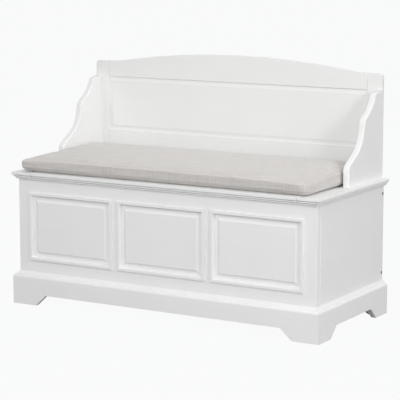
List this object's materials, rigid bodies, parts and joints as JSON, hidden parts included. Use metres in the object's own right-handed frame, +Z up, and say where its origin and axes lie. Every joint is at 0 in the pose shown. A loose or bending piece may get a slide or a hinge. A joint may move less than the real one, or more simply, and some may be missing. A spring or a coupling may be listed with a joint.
{
  "type": "storage bench",
  "caption": "White painted hall bench: panelled storage box on bracket feet, hinged lid with a linen seat cushion and folding stays, scrolled side wings and an arched panelled back.",
  "frame": {"origin": "on the floor under the middle of the bench's bounding box", "axes": "+X to the right of someone sitting on it as seen from the front, +Y towards the back, +Z up"},
  "size_m": [1.073, 0.468, 0.7704],
  "materials": {
    "white_paint": "satin white paint over wood and board",
    "bare_board": "unpainted board where it doesn't show",
    "linen": "plain woven grey-beige linen over foam",
    "steel": "zinc-plated pressed steel",
    "bronze": "dark bronze-coloured bolt head"
  },
  "bodies": {
    "bench": {"base_front_board": "white_paint", "base_left_board": "white_paint", "base_right_board": "white_paint", "foot_block_front_left": "bare_board", "foot_block_front_right": "bare_board", "foot_block_rear_left": "bare_board", "foot_block_rear_right": "bare_board", "front_board": "white_paint", "panel_moulding_left": "white_paint", "panel_moulding_middle": "white_paint", "panel_moulding_right": "white_paint", "raised_panel_left": "white_paint", "raised_panel_middle": "white_paint", "raised_panel_right": "white_paint", "side_panel_left": "white_paint", "side_panel_right": "white_paint", "back_board": "white_paint", "bottom_board": "white_paint", "bottom_cleat_front": "bare_board", "bottom_cleat_rear": "bare_board", "side_bolt_left_lower": "bronze", "side_bolt_left_upper": "bronze", "side_bolt_right_lower": "bronze", "side_bolt_right_upper": "bronze", "seat_end_left": "white_paint", "seat_end_right": "white_paint", "seat_rear_rail": "white_paint", "back_stile_left": "white_paint", "back_stile_right": "white_paint", "back_top_rail": "white_paint", "back_lower_rail": "white_paint", "back_panel": "white_paint", "side_wing_left": "white_paint", "side_wing_right": "white_paint", "hinge_rail_leaf_left": "steel", "hinge_rail_leaf_right": "steel", "hinge_pin_left": "steel", "hinge_pin_right": "steel", "stay_back_bracket_left": "steel", "stay_back_bracket_right": "steel"},
    "lid": {"lid": "white_paint", "seat_cushion": "linen", "hinge_lid_leaf_left": "steel", "hinge_lid_leaf_right": "steel", "stay_lid_bracket_left": "steel", "stay_lid_bracket_right": "steel"},
    "left_upper_arm": {"stay_upper_arm_left": "steel"},
    "right_upper_arm": {"stay_upper_arm_right": "steel"},
    "left_lower_arm": {"stay_lower_arm_left": "steel", "stay_elbow_rivet_left": "steel"},
    "right_lower_arm": {"stay_lower_arm_right": "steel", "stay_elbow_rivet_right": "steel"}
  },
  "joints": [
    {"name": "lid_hinge", "type": "hinge", "parent": "bench", "child": "lid", "pos_m": [0, 0.1665, 0.417], "axis": [-1, 0, 0], "range_deg": [0, 75]},
    {"name": "left_stay_lower_pivot", "type": "hinge", "parent": "bench", "child": "left_lower_arm", "pos_m": [-0.4455, 0.1815, 0.307], "axis": [-1, 0, 0], "range_deg": [0, 75]},
    {"name": "right_stay_lower_pivot", "type": "hinge", "parent": "bench", "child": "right_lower_arm", "pos_m": [0.4455, 0.1815, 0.307], "axis": [-1, 0, 0], "range_deg": [0, 75]},
    {"name": "left_stay_upper_pivot", "type": "hinge", "parent": "lid", "child": "left_upper_arm", "pos_m": [-0.4455, -0.0305, 0.381], "axis": [-1, 0, 0], "range_deg": [-75, 0]},
    {"name": "right_stay_upper_pivot", "type": "hinge", "parent": "lid", "child": "right_upper_arm", "pos_m": [0.4455, -0.0305, 0.381], "axis": [-1, 0, 0], "range_deg": [-75, 0]}
  ],
  "couplings": [
    {"joint": "left_stay_lower_pivot", "follows": "lid_hinge", "ratio": 1},
    {"joint": "right_stay_lower_pivot", "follows": "lid_hinge", "ratio": 1},
    {"joint": "left_stay_upper_pivot", "follows": "lid_hinge", "ratio": -1},
    {"joint": "right_stay_upper_pivot", "follows": "lid_hinge", "ratio": -1}
  ]
}
